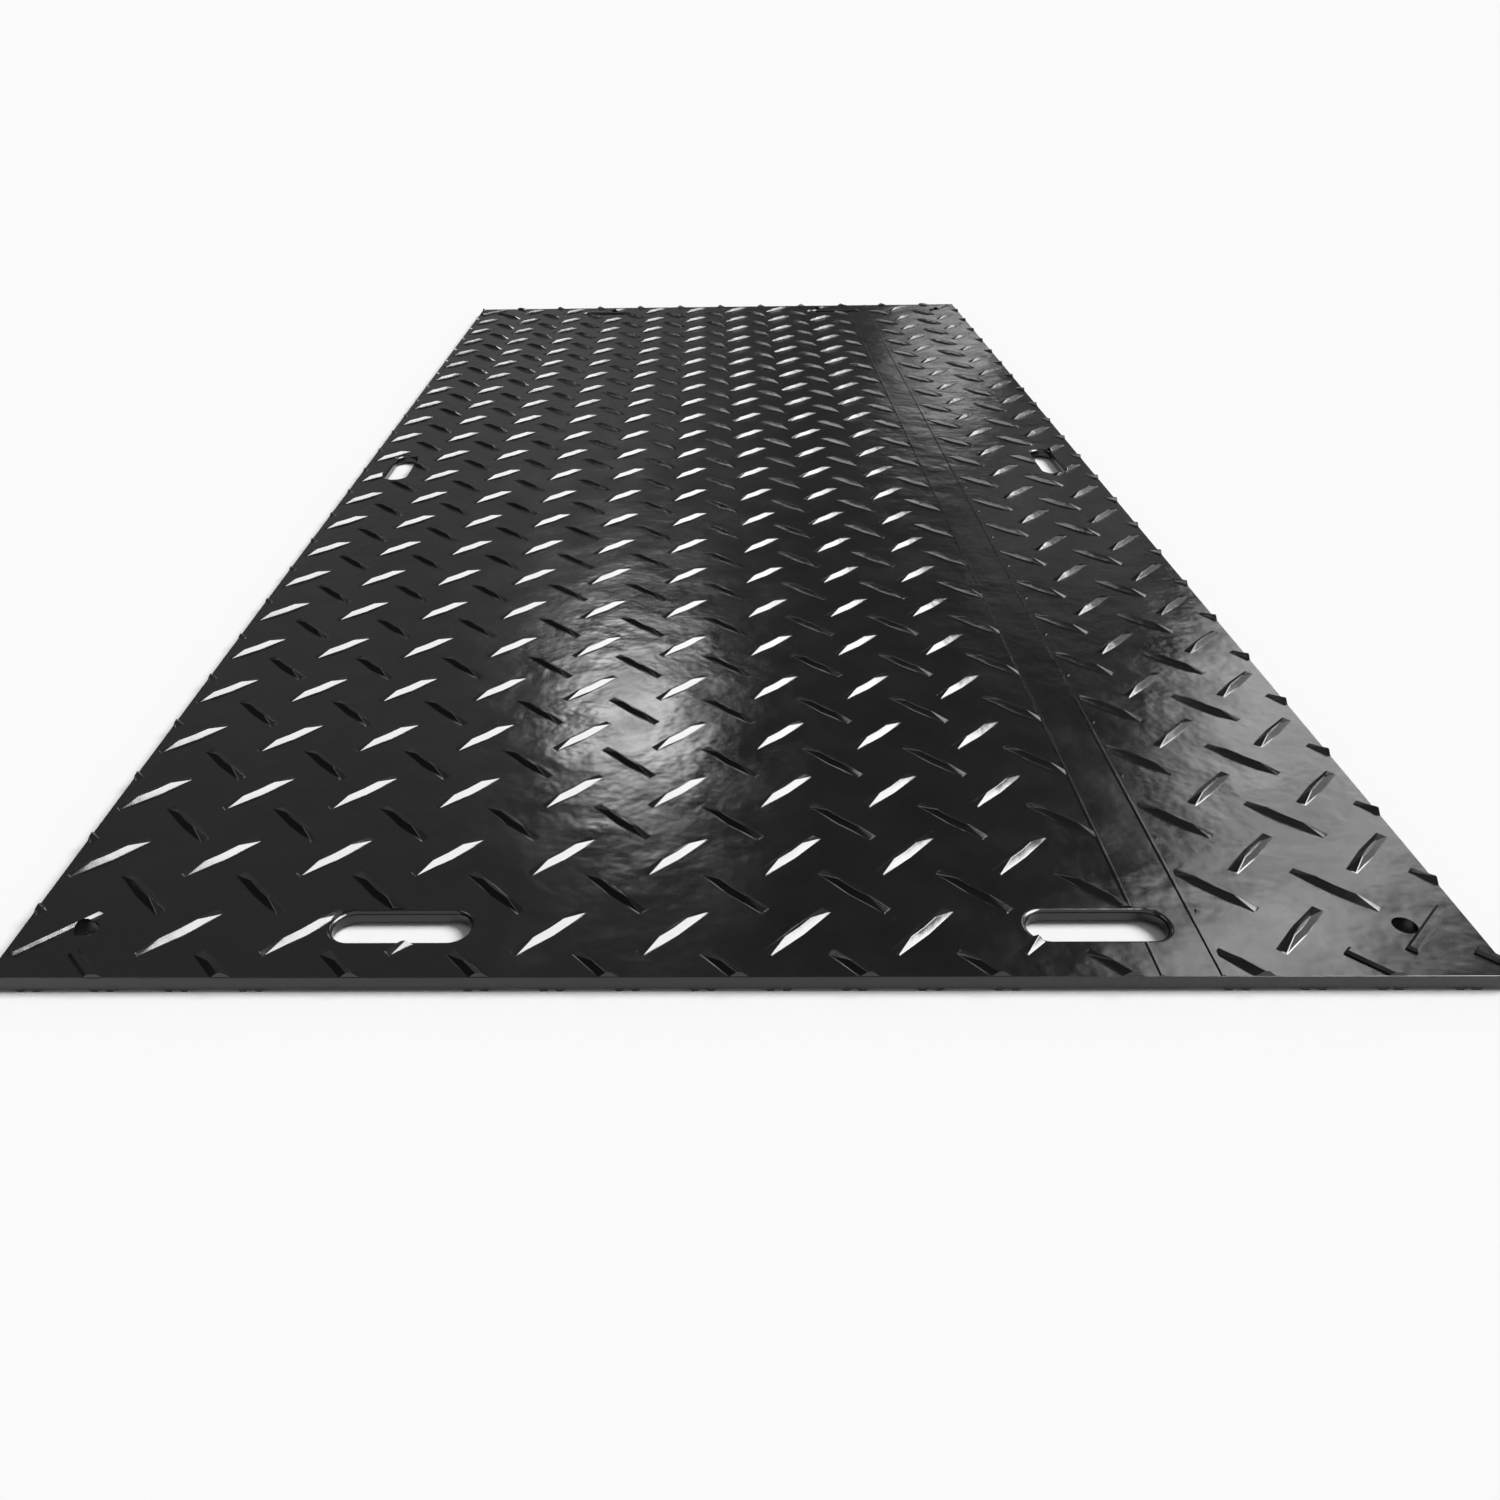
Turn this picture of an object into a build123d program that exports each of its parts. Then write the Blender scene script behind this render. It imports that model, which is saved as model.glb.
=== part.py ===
from build123d import *
from math import atan2, cos, sin
import os

# Ground protection mat: one moulded sheet of black polyethylene with a bold diagonal tread on
# top and a shallow fine tread below. Millimetres, +Z up, X across the mat, Y along it.
# The origin is the middle of the footprint, on the floor that the mat lies on.

# Sheet
width = 1220
length = 2440
sheet_thickness = 12.7

# Top tread: columns of lugs turned one way, and between them columns turned the other way.
# A lug is widest at its middle, and its flanks slope up to a flat crest, slender as a leaf, that
# narrows to a point where the end ramps begin. The tread as a whole lies a little off centre.
lug_angle = 45
lug_length = 73
lug_width = 11
lug_end_width = 7.5
lug_height = 5
lug_end_ramp = 20
lug_pitch_x = 104.2
lug_pitch_y = 102
lug_columns = 12
lug_columns_offset = -3.5
lug_rows_offset = 7

# Low square-ended bars that take the place of the lugs nearest to the four corners
corner_bar_length = 74
corner_bar_width = 9.5
corner_bar_height = 3.5
corner_zone_x = 120
corner_zone_y = 80

# Lengthwise strip without lugs, with a thin raised border along each side
strip_centre = 358
strip_width = 48
strip_border_width = 3
strip_border_height = 1.2

# Hand slots with a bevelled rim: two at each end, a little off centre, and one at the middle of
# each side
slot_length = 118
slot_width = 36
slot_rim = 4
end_slot_spacing = 586
end_slots_offset = 7
end_slot_inset = 61
side_slot_inset = 61

# Fixing holes at the corners
hole_diameter = 20.4
hole_inset_x = 56
hole_inset_y = 59

# Bottom tread: short low ridges, lengthwise and crosswise by turns, clear of the slots
ridge_length = 30
ridge_width = 8
ridge_height = 3
ridge_end_ramp = 4
ridge_pitch_x = 203.3
ridge_pitch_y = 203.3
ridge_clearance = 48

# Levels and counts that follow from the sizes above
sheet_bottom = ridge_height
sheet_top = sheet_bottom + sheet_thickness
lug_rows = round(length / lug_pitch_y)
ridge_columns = round(width / ridge_pitch_x)
ridge_rows = round(length / ridge_pitch_y)

# Centres of the hand slots and the fixing holes
end_slots = [
    (end_slots_offset + side * end_slot_spacing / 2, end * (length / 2 - end_slot_inset))
    for side in (-1, 1)
    for end in (-1, 1)
]
side_slots = [(side * (width / 2 - side_slot_inset), 0) for side in (-1, 1)]
fixing_holes = [
    (side * (width / 2 - hole_inset_x), end * (length / 2 - hole_inset_y))
    for side in (-1, 1)
    for end in (-1, 1)
]


def grid(columns, rows, pitch_x, pitch_y, offset_x=0, offset_y=0):
    """Places of a tread's bars, row by row, spread evenly about the mat's middle or an offset."""
    return [
        (
            offset_x + (column - (columns - 1) / 2) * pitch_x,
            offset_y + (row - (rows - 1) / 2) * pitch_y,
        )
        for row in range(rows)
        for column in range(columns)
    ]


def slots(margin, mode):
    """The outlines of the six hand slots, each larger than its opening by a margin."""
    slot = (slot_length + 2 * margin, slot_width + 2 * margin)
    with Locations(*end_slots):
        SlotOverall(*slot, mode=mode)
    with Locations(*side_slots):
        SlotOverall(*slot, rotation=90, mode=mode)


def beyond_the_edges(margin):
    """A frame all round the mat, where bars that cross its edges are cut off."""
    Rectangle(width + 2 * margin, length + 2 * margin)
    Rectangle(width, length, mode=Mode.SUBTRACT)


def side_view(bar_length, height, ramp):
    """The side view of a bar that stands on z = 0: flat along its crest, ramped at its ends."""
    Polygon(
        (-bar_length / 2, 0),
        (bar_length / 2, 0),
        (bar_length / 2 - ramp, height),
        (ramp - bar_length / 2, height),
        align=None,
    )


# A lug of the top tread: its side view crossed with two sloping bars, turned a little against
# each other so that both sides bulge at the middle
taper = atan2(lug_width - lug_end_width, lug_length)
bar_width = lug_width * cos(taper)
lug_flank_run = bar_width / 2 - (lug_length / 2 - lug_end_ramp) * sin(taper)
with BuildPart() as lug:
    with BuildSketch(Plane.XZ):
        side_view(lug_length, lug_height, lug_end_ramp)
    extrude(amount=lug_width / 2, both=True)
    for turn in (taper, -taper):
        across = Plane((0, 0, 0), x_dir=(-sin(turn), cos(turn), 0), z_dir=(cos(turn), sin(turn), 0))
        with BuildSketch(across):
            side_view(bar_width, lug_height, lug_flank_run)
        extrude(amount=lug_length, both=True, mode=Mode.INTERSECT)

# A ridge of the bottom tread, made the same way, with a sharp crest
with BuildPart() as ridge:
    with BuildSketch(Plane.XZ):
        side_view(ridge_length, ridge_height, ridge_end_ramp)
    extrude(amount=ridge_width / 2, both=True)
    with BuildSketch(Plane.YZ):
        Polygon((-ridge_width / 2, 0), (ridge_width / 2, 0), (0, ridge_height), align=None)
    extrude(amount=ridge_length / 2, both=True, mode=Mode.INTERSECT)

# The two directions of the top tread, half a pitch apart both ways
tread_places = [
    Location((x, y, sheet_top), (0, 0, angle))
    for angle, extra in ((lug_angle, 0), (-lug_angle, 1))
    for x, y in grid(
        lug_columns + extra,
        lug_rows + extra,
        lug_pitch_x,
        lug_pitch_y,
        lug_columns_offset,
        lug_rows_offset,
    )
]
corner_places = [
    place
    for place in tread_places
    if abs(place.position.X) > width / 2 - corner_zone_x
    and abs(place.position.Y) > length / 2 - corner_zone_y
]
lug_places = [place for place in tread_places if place not in corner_places]

# The lugs, cut off at the mat's edges, at the strip and at the slots
with BuildPart() as top_tread:
    with Locations(*lug_places):
        add(lug.part, clean=False)
    with BuildSketch(Plane.XY.offset(sheet_bottom)):
        beyond_the_edges(lug_length)
        with Locations((strip_centre, 0)):
            Rectangle(strip_width + strip_border_width, length)
        slots(slot_rim, Mode.ADD)
    extrude(amount=sheet_thickness + 2 * lug_height, mode=Mode.SUBTRACT)

# The corners' low bars, on the same pattern, cut off at the edges and at the fixing holes
with BuildPart() as corner_bars:
    with Locations(*corner_places):
        Box(
            corner_bar_length,
            corner_bar_width,
            corner_bar_height,
            align=(Align.CENTER, Align.CENTER, Align.MIN),
        )
    with BuildSketch(Plane.XY.offset(sheet_bottom)):
        beyond_the_edges(corner_bar_length)
        with Locations(*fixing_holes):
            Circle(hole_diameter / 2)
    extrude(amount=sheet_thickness + 2 * lug_height, mode=Mode.SUBTRACT)

# The strip's two borders, broken where the end slots cross them
with BuildPart() as strip_borders:
    with BuildSketch(Plane.XY.offset(sheet_top)):
        with Locations((strip_centre - strip_width / 2, 0), (strip_centre + strip_width / 2, 0)):
            Rectangle(strip_border_width, length)
        slots(slot_rim, Mode.SUBTRACT)
    extrude(amount=strip_border_height)

# The bottom tread's ridges, hanging from the sheet
with BuildPart() as bottom_tread:
    ridge_places = [
        Location((x, y, sheet_bottom), (180, 0, 90 * (number % 2)))
        for number, (x, y) in enumerate(
            grid(ridge_columns + 1, ridge_rows + 1, ridge_pitch_x, ridge_pitch_y)
        )
    ]
    with Locations(*ridge_places):
        add(ridge.part, clean=False)
    with BuildSketch(Plane.XY.offset(-ridge_height)):
        beyond_the_edges(ridge_length)
        slots(ridge_clearance, Mode.ADD)
    extrude(amount=3 * ridge_height, mode=Mode.SUBTRACT)

# The mat: the sheet with its slots and holes, and everything that stands on it
with BuildPart() as ground_mat:
    with BuildSketch(Plane.XY.offset(sheet_bottom)):
        Rectangle(width, length)
        slots(0, Mode.SUBTRACT)
    extrude(amount=sheet_thickness)
    rims = ground_mat.faces().sort_by(Axis.Z)[-1].inner_wires().edges()
    chamfer(rims, slot_rim)
    with BuildSketch(Plane.XY.offset(sheet_bottom)):
        with Locations(*fixing_holes):
            Circle(hole_diameter / 2)
    extrude(amount=sheet_thickness, mode=Mode.SUBTRACT)
    add([top_tread.part, corner_bars.part, strip_borders.part, bottom_tread.part])

ground_mat.part.label = "ground_mat"
os.makedirs("parts", exist_ok=True)
export_step(ground_mat.part, "parts/ground_mat.step")
print("solids", len(ground_mat.part.solids()), "faces", len(ground_mat.part.faces()))
print("volume", round(ground_mat.part.volume), "box", ground_mat.part.bounding_box())
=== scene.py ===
# %% [markdown]
# # A moulded ground protection mat
# The mat is a single sheet of black polyethylene, 1.22 m wide and 2.44 m long. A bold tread of
# leaf-shaped lugs stands on its top, a fine tread of short bars on its underside, and six hand
# slots and four fixing holes go through it. The imported CAD model gives the exact place and
# size of everything. Here each of its forms is modelled again with the soft edges that a
# mould leaves, and given the surface of real polyethylene.
#
# The frame is loaded first. It puts the CAD solid at the origin, in metres, X across the mat,
# Y along it and Z up, and the finished piece is built to fit inside its box.

# %% Load the frame
import math

import bpy
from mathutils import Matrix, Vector


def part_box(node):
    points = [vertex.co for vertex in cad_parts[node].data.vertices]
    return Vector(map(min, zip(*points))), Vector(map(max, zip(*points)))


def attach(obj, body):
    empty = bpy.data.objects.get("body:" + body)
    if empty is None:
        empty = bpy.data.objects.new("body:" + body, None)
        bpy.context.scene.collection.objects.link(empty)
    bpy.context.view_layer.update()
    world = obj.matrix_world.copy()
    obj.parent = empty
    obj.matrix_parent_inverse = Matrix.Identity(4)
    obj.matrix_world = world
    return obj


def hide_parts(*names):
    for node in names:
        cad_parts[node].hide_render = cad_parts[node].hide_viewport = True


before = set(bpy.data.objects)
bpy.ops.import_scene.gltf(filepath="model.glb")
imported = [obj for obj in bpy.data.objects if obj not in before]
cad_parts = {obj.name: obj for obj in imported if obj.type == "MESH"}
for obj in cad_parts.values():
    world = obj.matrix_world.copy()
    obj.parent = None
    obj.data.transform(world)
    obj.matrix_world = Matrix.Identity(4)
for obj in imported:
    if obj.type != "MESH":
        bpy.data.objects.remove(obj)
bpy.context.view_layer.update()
low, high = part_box("ground_mat")
print("CAD box in mm:", [round(1000 * (b - a), 2) for a, b in zip(low, high)])

# %% [markdown]
# ## The mat's sizes
# These are the mat's real sizes in metres, measured from its middle and from the floor. The
# width, the length and the full height come from the frame. The last value is how closely a
# point has to lie on a plane to count as on it, when faces and edges are chosen by place.

# %% Name the sizes
mm = 0.001
width = high.x - low.x
length = high.y - low.y
bottom_bar_height = 3 * mm
sheet_bottom = low.z + bottom_bar_height
sheet_top = sheet_bottom + 12.7 * mm
lug_height = high.z - sheet_top

lug_pitch_x, lug_pitch_y = 104.2 * mm, 102 * mm
lug_columns = 12
lug_rows = round(length / lug_pitch_y)
lug_middle_x, lug_middle_y = -3.5 * mm, 7 * mm

strip_centre, strip_width = 358 * mm, 48 * mm
border_width, border_height = 3 * mm, 1.2 * mm

slot_length, slot_width, slot_rim = 118 * mm, 36 * mm, 4 * mm
end_slots_middle, end_slot_spacing = 7 * mm, 586 * mm
end_slot_y, side_slot_x = length / 2 - 61 * mm, width / 2 - 61 * mm

hole_radius = 10.2 * mm
hole_x, hole_y = width / 2 - 56 * mm, length / 2 - 59 * mm

near = 0.01 * mm
print("lug rows:", lug_rows, "lug height in mm:", round(lug_height / mm, 2))

# %% [markdown]
# ## Modelling helpers
# Everything below is modelled the way it would be by hand: a primitive is added, and edit
# mode shapes it. An operator acts on whatever is selected, so each helper first deselects
# everything and then selects what it works on.

# %% Modelling helpers
def start(primitive, name, **settings):
    """Adds one primitive, and leaves it as the only selected object."""
    bpy.ops.object.select_all(action="DESELECT")
    primitive(**settings)
    piece = bpy.context.object
    piece.name = name
    piece.data.name = name
    return piece


def apply_place(piece):
    """Moves the object's place, turn and scale into its mesh."""
    bpy.ops.object.select_all(action="DESELECT")
    piece.select_set(True)
    bpy.context.view_layer.objects.active = piece
    bpy.ops.object.transform_apply(location=True, rotation=True, scale=True)


def choose(piece, kind, wanted):
    """In edit mode, selects the vertices, edges or faces whose middle passes the test."""
    bpy.ops.mesh.select_mode(type={"vertices": "VERT", "edges": "EDGE", "polygons": "FACE"}[kind])
    bpy.ops.mesh.select_all(action="DESELECT")
    bpy.ops.object.mode_set(mode="OBJECT")
    mesh = piece.data
    count = 0
    for item in getattr(mesh, kind):
        if kind == "vertices":
            middle = item.co
        elif kind == "edges":
            middle = (mesh.vertices[item.vertices[0]].co + mesh.vertices[item.vertices[1]].co) / 2
        else:
            middle = item.center
        if wanted(middle, item):
            item.select = True
            count += 1
    bpy.ops.object.mode_set(mode="EDIT")
    return count


def apply_modifier(piece, kind, **settings):
    """Adds a modifier with its settings and applies it at once."""
    bpy.ops.object.select_all(action="DESELECT")
    piece.select_set(True)
    bpy.context.view_layer.objects.active = piece
    modifier = piece.modifiers.new(kind.lower(), kind)
    for setting, value in settings.items():
        setattr(modifier, setting, value)
    bpy.ops.object.modifier_apply(modifier=modifier.name)


def join(pieces, name):
    """Joins the pieces into the first one."""
    bpy.ops.object.select_all(action="DESELECT")
    for piece in pieces:
        piece.select_set(True)
    bpy.context.view_layer.objects.active = pieces[0]
    if len(pieces) > 1:
        bpy.ops.object.join()
    pieces[0].name = name
    return pieces[0]


print("helpers ready")

# %% [markdown]
# ## The slot and hole cutters
# A hand slot is a stadium: a straight stretch with a half circle at each end. A cylinder
# becomes one when its two halves are pulled apart along X. Six of these cutters and four
# plain cylinders for the fixing holes make every opening. The same stadiums, a little wider,
# later trim the tread where it meets a slot.

# %% Cutters for the slots and holes
slot_places = [
    (end_slots_middle + side * end_slot_spacing / 2, end * end_slot_y, 0)
    for side in (-1, 1)
    for end in (-1, 1)
]
slot_places += [(x, 0, math.pi / 2) for x in (-side_slot_x, side_slot_x)]
straight = slot_length - slot_width
slot_sides, hole_sides = 48, 40
cutter_height = 100 * mm


def cylinder_at(name, radius, x, y, sides):
    """A tall cylinder that goes right through the mat, with a flat side square to Y."""
    cylinder = start(
        bpy.ops.mesh.primitive_cylinder_add,
        name,
        vertices=sides,
        radius=radius,
        depth=cutter_height,
        location=(x, y, 0),
        rotation=(0, 0, math.pi / sides),
    )
    apply_place(cylinder)
    return cylinder


def slot_cutters(margin):
    """Six stadium prisms at the hand slots, larger than the openings by a margin all round."""
    cutters = []
    for x, y, turn in slot_places:
        cutter = cylinder_at("slot_cutter", slot_width / 2 + margin, 0, 0, slot_sides)
        bpy.ops.object.mode_set(mode="EDIT")
        for side in (-1, 1):
            choose(cutter, "vertices", lambda middle, item: side * middle.x > 0)
            bpy.ops.transform.translate(value=(side * straight / 2, 0, 0))
        bpy.ops.object.mode_set(mode="OBJECT")
        cutter.rotation_euler.z = turn
        cutter.location = (x, y, 0)
        apply_place(cutter)
        cutters.append(cutter)
    return join(cutters, "slot_cutters")


def hole_cutters():
    """Four cylinders at the fixing holes."""
    cutters = [
        cylinder_at("hole_cutter", hole_radius, x, y, hole_sides)
        for x in (-hole_x, hole_x)
        for y in (-hole_y, hole_y)
    ]
    return join(cutters, "hole_cutters")


def cut(piece, cutter):
    """Cuts the cutter's shape out of the piece, and deletes the cutter."""
    apply_modifier(piece, "BOOLEAN", operation="DIFFERENCE", solver="EXACT", object=cutter)
    bpy.data.objects.remove(cutter)


def beyond_slot(point):
    """How far a point lies outside the outline of the nearest hand slot."""
    nearest = width
    for x, y, turn in slot_places:
        across, along = abs(point.x - x), abs(point.y - y)
        if turn == 0:
            across, along = along, across
        nearest = min(nearest, math.hypot(across, max(along - straight / 2, 0)) - slot_width / 2)
    return nearest


print("each slot cutter is pulled out by", round(straight / 2 / mm, 1), "mm a side")

# %% [markdown]
# ## The sheet
# The sheet itself is a cube primitive at its real size, with the ten openings cut out by a
# Boolean. What makes it look moulded is its edges: the rims of the hand slots are rounded so
# that they don't cut into a hand, and the outer edges are only just broken. Both are bevels
# on edges that are chosen by their place.

# %% Model the sheet
slot_rim_below = 2 * mm
rim_reach = 0.3 * mm
edge_break = 0.7 * mm

sheet = start(bpy.ops.mesh.primitive_cube_add, "moulded_sheet", size=1)
sheet.scale = (width, length, sheet_top - sheet_bottom)
sheet.location.z = (sheet_top + sheet_bottom) / 2
apply_place(sheet)
cut(sheet, slot_cutters(0))
cut(sheet, hole_cutters())


def on_level(middle, level):
    """True for a point at this height above the floor."""
    return abs(middle.z - level) < near


def on_outline(middle):
    """True for a point on the mat's four outer sides."""
    return abs(abs(middle.x) - width / 2) < near or abs(abs(middle.y) - length / 2) < near


bpy.ops.object.mode_set(mode="EDIT")
for level, radius, steps in ((sheet_top, slot_rim, 5), (sheet_bottom, slot_rim_below, 3)):
    rim = choose(
        sheet,
        "edges",
        lambda middle, item: on_level(middle, level) and abs(beyond_slot(middle)) < rim_reach,
    )
    bpy.ops.mesh.bevel(offset=radius, segments=steps, affect="EDGES", clamp_overlap=False)
    print("rim edges rounded:", rim)
rim = choose(
    sheet,
    "edges",
    lambda middle, item: on_outline(middle)
    and (on_level(middle, sheet_top) or on_level(middle, sheet_bottom)),
)
bpy.ops.mesh.bevel(offset=edge_break, segments=2, affect="EDGES", clamp_overlap=False)
bpy.ops.object.mode_set(mode="OBJECT")
print("outer edges broken:", rim, "faces now:", len(sheet.data.polygons))

# %% [markdown]
# ## One lug of the bold tread
# A lug is like a low hipped roof, as slender as a leaf: widest in its middle, with long flat
# flanks, a narrow crest and a ramp at each end, so that a tyre rolls over it and mud falls out
# of it. A cube is stretched to the lug's box and cut once across its middle and once just
# above its foot, and each point is then drawn to its place: the foot a little wider than the
# root above it, like the fillet that a mould leaves there, and the crest drawn in, which
# slopes the flanks and the ends. At last the edges above the foot are rounded. A lug is
# copied hundreds of times, so it keeps few faces.

# %% Model one lug
lug_length, lug_width, lug_end_width = 73 * mm, 11 * mm, 7.5 * mm
crest_length, crest_width, crest_end_width = 33 * mm, 3 * mm, 1.4 * mm
foot_height, foot_depth, foot_reach = 0.5 * mm, 0.12 * mm, 1.2 * mm
lug_edge_radius = 0.55 * mm


def lug_outline(point):
    """Where a point of the stretched cube belongs on the lug."""
    x = point.x
    share = 2 * abs(x) / lug_length
    half = (lug_width - (lug_width - lug_end_width) * share) / 2
    if point.z < 0:
        x += math.copysign(foot_reach, x) * (share > 0.9)
        half += foot_reach
    elif point.z > foot_height + near:
        x *= crest_length / lug_length
        half = (crest_width - (crest_width - crest_end_width) * share) / 2
    return (x, math.copysign(half, point.y), point.z)


lug = start(bpy.ops.mesh.primitive_cube_add, "lug", size=1)
lug.scale = (lug_length, lug_width, lug_height + foot_depth)
lug.location.z = (lug_height - foot_depth) / 2
apply_place(lug)
bpy.ops.object.mode_set(mode="EDIT")
for place, normal in (((0, 0, 0), (1, 0, 0)), ((0, 0, foot_height), (0, 0, 1))):
    bpy.ops.mesh.select_all(action="SELECT")
    bpy.ops.mesh.bisect(plane_co=place, plane_no=normal)
bpy.ops.object.mode_set(mode="OBJECT")
for vertex in lug.data.vertices:
    vertex.co = lug_outline(vertex.co)
bpy.ops.object.mode_set(mode="EDIT")
rounded = choose(
    lug,
    "edges",
    lambda middle, item: middle.z > foot_height + near and abs(middle.x) > near,
)
bpy.ops.mesh.bevel(offset=lug_edge_radius, segments=2, affect="EDGES")
bpy.ops.object.mode_set(mode="OBJECT")
print("edges rounded:", rounded, "faces on a lug:", len(lug.data.polygons))

# %% [markdown]
# ## Laying out a grid
# The mould repeats its bars on two interleaved grids, the second half a pitch off both ways
# and turned the other way. An Array modifier repeats a piece in a row, so two of them, one
# along each side of the mat, lay out a grid from one bar. The bars that cross the mat's edges
# are bisected there, and the cut is filled. In the four corner zones the tread is different,
# so a point has to tell whether the bar that it belongs to stands in one.

# %% Helpers for a grid
corner_zone_x, corner_zone_y = 120 * mm, 80 * mm


def duplicate(piece, name):
    """A copy of the piece with a mesh of its own."""
    bpy.ops.object.select_all(action="DESELECT")
    piece.select_set(True)
    bpy.context.view_layer.objects.active = piece
    bpy.ops.object.duplicate()
    copy = bpy.context.object
    copy.name = name
    return copy


def repeat(piece, count, step):
    """Repeats the piece in a row with an Array modifier."""
    apply_modifier(
        piece,
        "ARRAY",
        count=count,
        use_relative_offset=False,
        use_constant_offset=True,
        constant_offset_displace=step,
    )


def lay_grid(piece, angle, extra):
    """Turns the piece and repeats it over the mat, one more each way where extra is 1."""
    piece.rotation_euler.z = math.radians(angle)
    first_x = lug_middle_x - (lug_columns + extra - 1) / 2 * lug_pitch_x
    first_y = lug_middle_y - (lug_rows + extra - 1) / 2 * lug_pitch_y
    piece.location = (first_x, first_y, sheet_top)
    apply_place(piece)
    repeat(piece, lug_columns + extra, (lug_pitch_x, 0, 0))
    repeat(piece, lug_rows + extra, (0, lug_pitch_y, 0))
    return first_x, first_y


def in_corner_zone(point, first_x, first_y):
    """True where the lug that the point belongs to has its middle in a corner zone."""
    x = first_x + round((point.x - first_x) / lug_pitch_x) * lug_pitch_x
    y = first_y + round((point.y - first_y) / lug_pitch_y) * lug_pitch_y
    return abs(x) > width / 2 - corner_zone_x and abs(y) > length / 2 - corner_zone_y


def trim_edges(piece, inset):
    """Cuts the piece off at the mat's four edges, and closes it there."""
    bpy.ops.object.select_all(action="DESELECT")
    bpy.context.view_layer.objects.active = piece
    bpy.ops.object.mode_set(mode="EDIT")
    for x, y in ((1, 0), (-1, 0), (0, 1), (0, -1)):
        bpy.ops.mesh.select_all(action="SELECT")
        bpy.ops.mesh.bisect(
            plane_co=(x * (width / 2 - inset), y * (length / 2 - inset), 0),
            plane_no=(x, y, 0),
            use_fill=True,
            clear_outer=True,
        )
    bpy.ops.object.mode_set(mode="OBJECT")


grids = ((45, 0), (-45, 1))
for angle, extra in grids:
    print("grid of", lug_columns + extra, "by", lug_rows + extra, "bars, turned", angle, "degrees")

# %% [markdown]
# ## The bold tread
# The lug is laid out on both grids. The lugs whose middle lies in a corner zone are deleted,
# because low bars stand there, and whatever crosses the mat's edges, the plain strip or a hand
# slot is cut away. On the right of the strip the cut reaches a few millimetres further, where
# it would otherwise leave crumbs of the lugs.

# %% Lay out the bold tread
crumb_width = 3.6 * mm

tread = []
for angle, extra in grids:
    lugs = duplicate(lug, "lugs")
    first_x, first_y = lay_grid(lugs, angle, extra)
    bpy.ops.object.mode_set(mode="EDIT")
    choose(lugs, "vertices", lambda middle, item: in_corner_zone(middle, first_x, first_y))
    bpy.ops.mesh.delete(type="VERT")
    bpy.ops.object.mode_set(mode="OBJECT")
    trim_edges(lugs, edge_break)
    tread.append(lugs)
bpy.data.objects.remove(lug)
tread = join(tread, "bold_tread")

strip_band = start(bpy.ops.mesh.primitive_cube_add, "strip_band", size=1)
strip_band.scale = (strip_width + border_width + crumb_width, 2 * length, cutter_height)
strip_band.location.x = strip_centre + crumb_width / 2
apply_place(strip_band)
cut(tread, slot_cutters(slot_rim))
cut(tread, strip_band)
print("faces in the bold tread:", len(tread.data.polygons))

# %% [markdown]
# ## The corners' low bars and the strip's borders
# Around each fixing hole the lugs give way to lower bars with square ends, so that a joining
# plate lies flat over the hole. They stand on the lugs' own places. The strip that is left
# bare along the mat has a fine raised line on each side. Both are stretched cubes with the
# upper edges rounded.

# %% Model the low bars and the borders
corner_bar, corner_bar_chamfer = (74 * mm, 9.5 * mm, 3.5 * mm), 2.2 * mm
border = (border_width, length - 2 * edge_break, border_height)
border_edge_radius = 0.45 * mm


def raised_bar(name, size, radius, steps):
    """A bar that stands on z = 0, sunk a trace into the sheet, with its upper edges rounded."""
    bar = start(bpy.ops.mesh.primitive_cube_add, name, size=1)
    bar.scale = (size[0], size[1], size[2] + foot_depth)
    bar.location.z = (size[2] - foot_depth) / 2
    apply_place(bar)
    bpy.ops.object.mode_set(mode="EDIT")
    choose(bar, "edges", lambda middle, item: middle.z > size[2] - near)
    bpy.ops.mesh.bevel(offset=radius, segments=steps, affect="EDGES")
    bpy.ops.object.mode_set(mode="OBJECT")
    return bar


bars = []
for angle, extra in grids:
    grid = raised_bar("corner_bars", corner_bar, corner_bar_chamfer, 1)
    first_x, first_y = lay_grid(grid, angle, extra)
    bpy.ops.object.mode_set(mode="EDIT")
    choose(grid, "vertices", lambda middle, item: not in_corner_zone(middle, first_x, first_y))
    bpy.ops.mesh.delete(type="VERT")
    bpy.ops.object.mode_set(mode="OBJECT")
    trim_edges(grid, edge_break)
    bars.append(grid)
bars = join(bars, "corner_bars")
cut(bars, hole_cutters())

borders = []
for side in (-1, 1):
    line = raised_bar("strip_border", border, border_edge_radius, 2)
    line.location = (strip_centre + side * strip_width / 2, 0, sheet_top)
    apply_place(line)
    borders.append(line)
borders = join(borders, "strip_borders")
cut(borders, slot_cutters(slot_rim))
print("faces in the low bars and borders:", len(bars.data.polygons), len(borders.data.polygons))

# %% [markdown]
# ## A block of the fine tread
# The underside grips the ground with pairs of short low bars, laid lengthwise and crosswise
# by turns like a basket weave. One bar is a stretched cube whose lower face is drawn in, two
# of them side by side make a cell, and two by two cells make a block that repeats.

# %% Model a block of the fine tread
cell = width / 40
fine_length, fine_foot, fine_crest = 26 * mm, 8 * mm, 4.5 * mm
fine_spacing, fine_end_ramp = 13 * mm, 2 * mm

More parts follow.
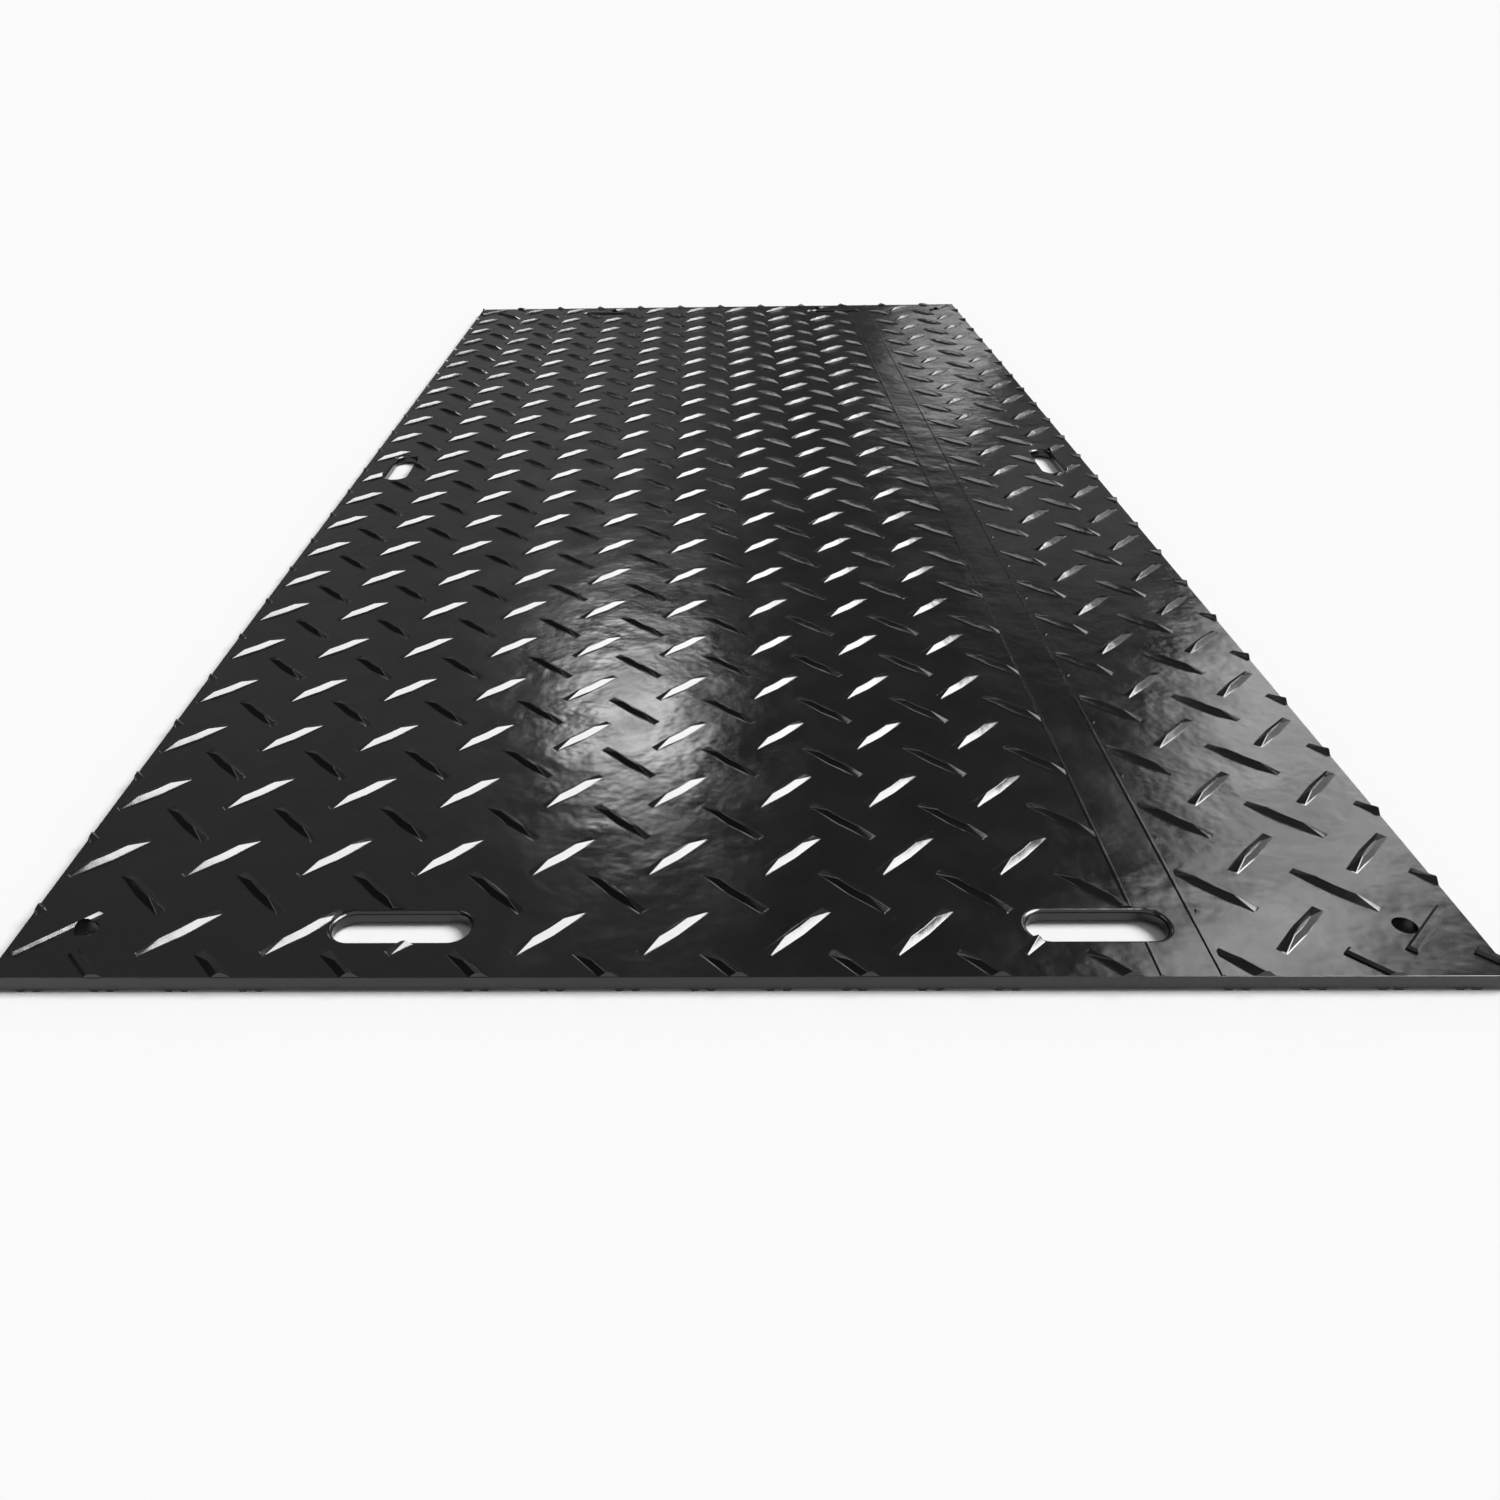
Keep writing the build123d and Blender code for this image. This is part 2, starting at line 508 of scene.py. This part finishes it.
bar = start(bpy.ops.mesh.primitive_cube_add, "fine_bar", size=1)
bar.scale = (fine_length, fine_foot, bottom_bar_height + foot_depth)
bar.location.z = sheet_bottom - (bottom_bar_height - foot_depth) / 2
apply_place(bar)
bpy.ops.object.mode_set(mode="EDIT")
choose(bar, "polygons", lambda middle, item: item.normal.z < -0.9)
bpy.ops.transform.resize(
    value=(1 - 2 * fine_end_ramp / fine_length, fine_crest / fine_foot, 1),
    center_override=(0, 0, low.z),
)
bpy.ops.object.mode_set(mode="OBJECT")

block = []
for column in (0, 1):
    for row in (0, 1):
        for side in (-1, 1):
            copy = duplicate(bar, "fine_bar")
            lengthwise = (column + row) % 2 == 1
            copy.rotation_euler.z = math.pi / 2 * lengthwise
            aside = side * fine_spacing / 2
            copy.location = (
                low.x + column * cell + aside * lengthwise,
                low.y + row * cell + aside * (not lengthwise),
                0,
            )
            apply_place(copy)
            block.append(copy)
bpy.data.objects.remove(bar)
fine_tread = join(block, "fine_tread")
print("bars in a block:", len(block), "cell in mm:", round(cell / mm, 1))

# %% [markdown]
# ## Covering the underside
# Two Array modifiers cover the mat with the block. The mat's edges run through the middle of a
# row of cells, so that the cut bars show there as small bumps. Bars are then cleared away
# round the hand slots, so that a hand gets under the rim, and round the fixing holes.

# %% Cover the underside
fine_edge_inset = 0.2 * mm
slot_margin = 46 * mm

repeat(fine_tread, round(width / cell / 2) + 1, (2 * cell, 0, 0))
repeat(fine_tread, round(length / cell / 2) + 1, (0, 2 * cell, 0))
trim_edges(fine_tread, fine_edge_inset)


def cell_middle(point):
    """The middle of the basket weave's cell that a point lies in."""
    column, row = round((point.x - low.x) / cell), round((point.y - low.y) / cell)
    return Vector((low.x + column * cell, low.y + row * cell, 0))


def is_clear(point):
    """True where the underside stays free of bars, round a hand slot or a fixing hole."""
    from_hole = math.hypot(abs(point.x) - hole_x, abs(point.y) - hole_y)
    return beyond_slot(point) < slot_margin or from_hole < cell


bpy.ops.object.mode_set(mode="EDIT")
cleared = choose(fine_tread, "vertices", lambda middle, item: is_clear(cell_middle(middle)))
bpy.ops.mesh.delete(type="VERT")
bpy.ops.object.mode_set(mode="OBJECT")
print("points cleared round the slots and holes:", cleared)
print("faces in the fine tread:", len(fine_tread.data.polygons))

# %% [markdown]
# ## One moulded piece
# All of this is one moulding, so it becomes one mesh. Its faces are smoothed across shallow
# angles only: the rounded rims and crests flow into their neighbours, and the square edges
# stay crisp. The shading then follows the larger faces, which keeps the flanks of the lugs
# as flat as they are on the real mat, each with one even reflection.

# %% Join the mat
mat = join([sheet, tread, bars, borders, fine_tread], "moulded_mat")
apply_place(mat)
smooth_angle = math.radians(32)
bpy.ops.object.shade_smooth_by_angle(angle=smooth_angle)
apply_modifier(mat, "WEIGHTED_NORMAL", mode="FACE_AREA", weight=100, keep_sharp=True)
triangles = sum(len(polygon.vertices) - 2 for polygon in mat.data.polygons)
print("triangles in the mat:", triangles)

# %% [markdown]
# ## Colour and node helpers
# A colour is written the way a picture shows it, as an sRGB hex value, but a shader adds light
# up in linear values, so one function turns the one into the other. Another adds a node to a
# material, with its settings and its links in one line.

# %% Helpers for materials
def linear(hex_colour):
    """An sRGB hex colour as the linear colour that a shader takes."""
    shares = [int(hex_colour[i : i + 2], 16) / 255 for i in (1, 3, 5)]
    linear_shares = [c / 12.92 if c <= 0.04045 else ((c + 0.055) / 1.055) ** 2.4 for c in shares]
    return (*linear_shares, 1)


def add_node(tree, kind, links, **settings):
    """Adds a shader node with its links; a setting is one of its options or its inputs."""
    node = tree.nodes.new(kind)
    for setting, value in settings.items():
        if hasattr(node, setting):
            setattr(node, setting, value)
        else:
            node.inputs[setting.replace("_", " ")].default_value = value
    for socket, source in links.items():
        tree.links.new(source, node.inputs[socket])
    return node


print("mid grey as a linear share:", round(linear("#808080")[0], 3))

# %% [markdown]
# ## The plastic
# The real mat is black high-density polyethylene, coloured with soot against sunlight, and
# pressed in a steel mould. It is never a pure black: the skin is faintly waxy and scatters a
# soft grey sheen, which tells plastic from rubber. The sheen isn't even, because the hot sheet
# shrinks unevenly in its mould, so the roughness and the bump carry slow waves of a few
# centimetres. Finer still are the skin's own grain, of about a millimetre, and a few pale
# scuffs from handling. Noise of the wanted size gives each of them, laid over the mat by its
# own coordinates.

# %% Polyethylene material
sheen_size, shrink_size, scuff_size, grain_size = 71 * mm, 55 * mm, 17 * mm, 1.1 * mm
noise = "ShaderNodeTexNoise"

plastic = bpy.data.materials.new("black_polyethylene")
plastic.use_nodes = True
tree = plastic.node_tree
shader = tree.nodes["Principled BSDF"]
over_mat = {"Vector": add_node(tree, "ShaderNodeTexCoord", {}).outputs["Object"]}

scuff_places = add_node(tree, noise, over_mat, Scale=1 / scuff_size, Detail=6, Roughness=0.7)
scuffed = add_node(
    tree, "ShaderNodeMapRange", {"Value": scuff_places.outputs["Fac"]}, From_Min=0.66, From_Max=0.78
)
colour = add_node(tree, "ShaderNodeMix", {"Factor": scuffed.outputs["Result"]}, data_type="RGBA")
colour.inputs[6].default_value = linear("#161617")
colour.inputs[7].default_value = linear("#2c2c2c")
tree.links.new(colour.outputs[2], shader.inputs["Base Color"])

sheen_waves = add_node(tree, noise, over_mat, Scale=1 / sheen_size, Detail=3, Roughness=0.55)
roughness = add_node(
    tree,
    "ShaderNodeMapRange",
    {"Value": sheen_waves.outputs["Fac"]},
    From_Min=0.3,
    From_Max=0.7,
    To_Min=0.12,
    To_Max=0.22,
)
tree.links.new(roughness.outputs["Result"], shader.inputs["Roughness"])
shader.inputs["IOR"].default_value = 1.52

shrink_waves = add_node(tree, noise, over_mat, Scale=1 / shrink_size, Detail=3, Roughness=0.5)
waves_bump = add_node(
    tree, "ShaderNodeBump", {"Height": shrink_waves.outputs["Fac"]}, Strength=1, Distance=1.4 * mm
)
grain = add_node(tree, noise, over_mat, Scale=1 / grain_size, Detail=2, Roughness=0.5)
grain_bump = add_node(
    tree,
    "ShaderNodeBump",
    {"Height": grain.outputs["Fac"], "Normal": waves_bump.outputs["Normal"]},
    Strength=0.5,
    Distance=0.06 * mm,
)
tree.links.new(grain_bump.outputs["Normal"], shader.inputs["Normal"])

mat.data.materials.clear()
mat.data.materials.append(plastic)
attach(mat, "root")
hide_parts("ground_mat")
print("material on the mat:", mat.data.materials[0].name, "nodes:", len(tree.nodes))

# %% [markdown]
# ## The floor
# A pale matt floor keeps the mat's shadow. It is wide enough to reach the horizon, so that no
# edge of it shows behind the mat.

# %% Lay the floor
floor = start(bpy.ops.mesh.primitive_plane_add, "floor", size=200)
apply_place(floor)
pale = bpy.data.materials.new("pale_floor")
pale.use_nodes = True
pale_shader = pale.node_tree.nodes["Principled BSDF"]
pale_shader.inputs["Base Color"].default_value = linear("#fdfdfd")
pale_shader.inputs["Roughness"].default_value = 1.0
pale_shader.inputs["Specular IOR Level"].default_value = 0
floor.data.materials.append(pale)
print("floor width in m:", round(floor.dimensions.x))

# %% [markdown]
# ## The studio round the mat
# Black gloss shows what stands round it. The background is white, but a black mat would turn
# grey in it, so a photographer hangs dim flags round the set and lets a few soft panels shine
# in front of them. All of these show in the gloss alone, and the camera and the floor don't
# see them. Slow clouds in their glow keep the reflections from looking drawn.

# %% Helper for the studio
cloud_scale = 0.7  # clouds of about a metre and a half


def hang(piece, strength, unevenness):
    """Makes a studio piece glow, for gloss alone; gives back its nodes, place and glow."""
    piece.visible_camera = piece.visible_diffuse = piece.visible_shadow = False
    material = bpy.data.materials.new(piece.name)
    material.use_nodes = True
    tree = material.node_tree
    place = add_node(tree, "ShaderNodeTexCoord", {}).outputs["Object"]
    cloud = add_node(tree, noise, {"Vector": place}, Scale=cloud_scale, Detail=2)
    level = add_node(
        tree,
        "ShaderNodeMapRange",
        {"Value": cloud.outputs["Fac"]},
        From_Min=0.4,
        From_Max=0.6,
        To_Min=strength * (1 - unevenness),
        To_Max=strength * (1 + unevenness),
    )
    glow = add_node(tree, "ShaderNodeEmission", {"Strength": level.outputs["Result"]})
    tree.links.new(glow.outputs["Emission"], tree.nodes["Material Output"].inputs["Surface"])
    piece.data.materials.append(material)
    return tree, place, glow


print("clouds in the studio's glow, in m:", round(1 / cloud_scale, 1))

# %% [markdown]
# ## The dim flags
# The flags are one part of a wide dome: a sphere primitive, cut off above the floor and cut
# open on the right, where the main lamp stands. They are a little brighter on the left, as a
# colour ramp over X makes them, which lays the even grey over the left of the mat.

# %% Hang the flags
flag_radius, flag_azimuth = 40, math.radians(130)
flags = start(bpy.ops.mesh.primitive_uv_sphere_add, "dim_flags", radius=flag_radius)
flag_side = Vector((math.cos(flag_azimuth), math.sin(flag_azimuth), 0))
bpy.ops.object.mode_set(mode="EDIT")
for place, normal in (((0, 0, 0.5), (0, 0, 1)), (-2 * flag_side, flag_side)):
    bpy.ops.mesh.select_all(action="SELECT")
    bpy.ops.mesh.bisect(plane_co=place, plane_no=normal, clear_inner=True)
bpy.ops.object.mode_set(mode="OBJECT")
flag_tree, flag_place, flag_glow = hang(flags, 1, 0.3)
across = add_node(flag_tree, "ShaderNodeSeparateXYZ", {"Vector": flag_place})
share = add_node(
    flag_tree,
    "ShaderNodeMapRange",
    {"Value": across.outputs["X"]},
    From_Min=-flag_radius,
    From_Max=flag_radius,
)
shades = add_node(flag_tree, "ShaderNodeValToRGB", {"Fac": share.outputs["Result"]})
shades.color_ramp.elements[0].position, shades.color_ramp.elements[1].position = 0.12, 0.53
shades.color_ramp.elements.new(0.2)
shades.color_ramp.elements.new(0.45)
for element, shade in zip(shades.color_ramp.elements, (0.04, 0.2, 0.2, 0.07)):
    element.color = (shade, shade, shade, 1)
flag_tree.links.new(shades.outputs["Color"], flag_glow.inputs["Color"])
print("faces in the flags:", len(flags.data.polygons))

# %% [markdown]
# ## The soft panels
# Each panel is a disc that faces the mat from its own direction. The key panel is the main
# lamp's soft front, which turns the flanks that face it white, with the side panel behind its
# edge. Its lower part is cut off, because it would glare in the flat of the mat. The three
# left panels light the flanks that face left, and the others lay the cloudy sheen over the
# mat, where the photograph has it.

# %% Hang the panels
key_foot = 12.2  # height above the floor, in metres, where the key panel's lower part ends

for name, distance, azimuth, elevation, radius, strength, unevenness in (
    ("key_panel", 30, -7, 43, 13.4, 20, 0.1),
    ("side_panel", 34, 24, 42, 6, 9, 0.2),
    ("left_panel", 30, 166, 57, 3.8, 4.5, 0.3),
    ("middle_left_panel", 30, 157, 48, 2.6, 6.5, 0.3),
    ("low_left_panel", 30, 155, 42, 2.4, 1.5, 0.4),
    ("right_panel", 30, 53, 27, 4.8, 3, 0.6),
    ("upper_panel", 30, 54, 41.5, 2.9, 4.5, 0.2),
    ("far_panel", 30, 78, 13.5, 1.5, 1.3, 0.5),
    ("small_panel", 30, 95, 32.5, 1.8, 9, 0.2),
    ("edge_panel", 30, 70.5, 21, 2.6, 0.27, 0.5),
):
    panel = start(
        bpy.ops.mesh.primitive_circle_add, name, vertices=32, radius=radius, fill_type="NGON"
    )
    turn, rise = math.radians(azimuth), math.radians(elevation)
    panel.location = distance * Vector(
        (math.cos(rise) * math.cos(turn), math.cos(rise) * math.sin(turn), math.sin(rise))
    )
    panel.rotation_euler = (0, math.pi / 2 - rise, turn)
    apply_place(panel)
    if name == "key_panel":
        bpy.ops.object.mode_set(mode="EDIT")
        bpy.ops.mesh.select_all(action="SELECT")
        bpy.ops.mesh.bisect(plane_co=(0, 0, key_foot), plane_no=(0, 0, 1), clear_inner=True)
        bpy.ops.object.mode_set(mode="OBJECT")
    hang(panel, strength, unevenness)
    print(name, "is", round(2 * radius, 1), "m wide")

# %% [markdown]
# ## The light
# One large soft lamp stands far away on the right. It is a distant disc, which lights the
# mat and the whole floor evenly, and its reflection is left to the key panel near it, so that
# the gloss doesn't show the lamp twice. The world adds a plain soft fill, and both the camera
# and the gloss see it as the pale background.

# %% Set the lamp and the world
key_elevation, key_azimuth = math.radians(47), math.radians(12)
bpy.ops.object.light_add(
    type="SUN", location=(3, 0.6, 3), rotation=(0, math.pi / 2 - key_elevation, key_azimuth)
)
key_lamp = bpy.context.object
key_lamp.name = "key_lamp"
key_lamp.data.angle = math.radians(29)
key_lamp.data.energy = 3.2
key_lamp.visible_glossy = False

world = bpy.data.worlds.new("studio")
bpy.context.scene.world = world
world.use_nodes = True
world_tree = world.node_tree
background = world_tree.nodes["Background"]
background.inputs["Color"].default_value = linear("#fafafa")
ray = add_node(world_tree, "ShaderNodeLightPath", {}).outputs
seen = add_node(
    world_tree,
    "ShaderNodeMath",
    {0: ray["Is Camera Ray"], 1: ray["Is Glossy Ray"]},
    operation="ADD",
)
shown = add_node(
    world_tree,
    "ShaderNodeMath",
    {0: seen.outputs[0], 1: ray["Is Transmission Ray"]},
    operation="ADD",
)
strength = add_node(
    world_tree, "ShaderNodeMapRange", {"Value": shown.outputs[0]}, To_Min=0.24, To_Max=1
)
world_tree.links.new(strength.outputs["Result"], background.inputs["Strength"])
print("key lamp's disc in degrees:", round(math.degrees(key_lamp.data.angle)))

# %% [markdown]
# ## The camera
# The camera stands just off the mat's near end, at the height and angle of the photograph.
# They were found from the mat's own four corners, and so was the small sideways shift of the
# lens.

# %% Place the camera
bpy.ops.object.camera_add(
    location=(-0.02367, -1.87523, 0.66084),
    rotation=[math.radians(angle) for angle in (56.8235, 0.7767, 0.6582)],
)
camera = bpy.context.object
camera.name = "photo_camera"
camera.data.sensor_width = 36
camera.data.lens = 27.12
camera.data.shift_x = 0.0394
bpy.context.scene.camera = camera
bpy.context.scene.view_settings.view_transform = "Standard"
print("camera height above the mat in m:", round(camera.location.z - high.z, 3))
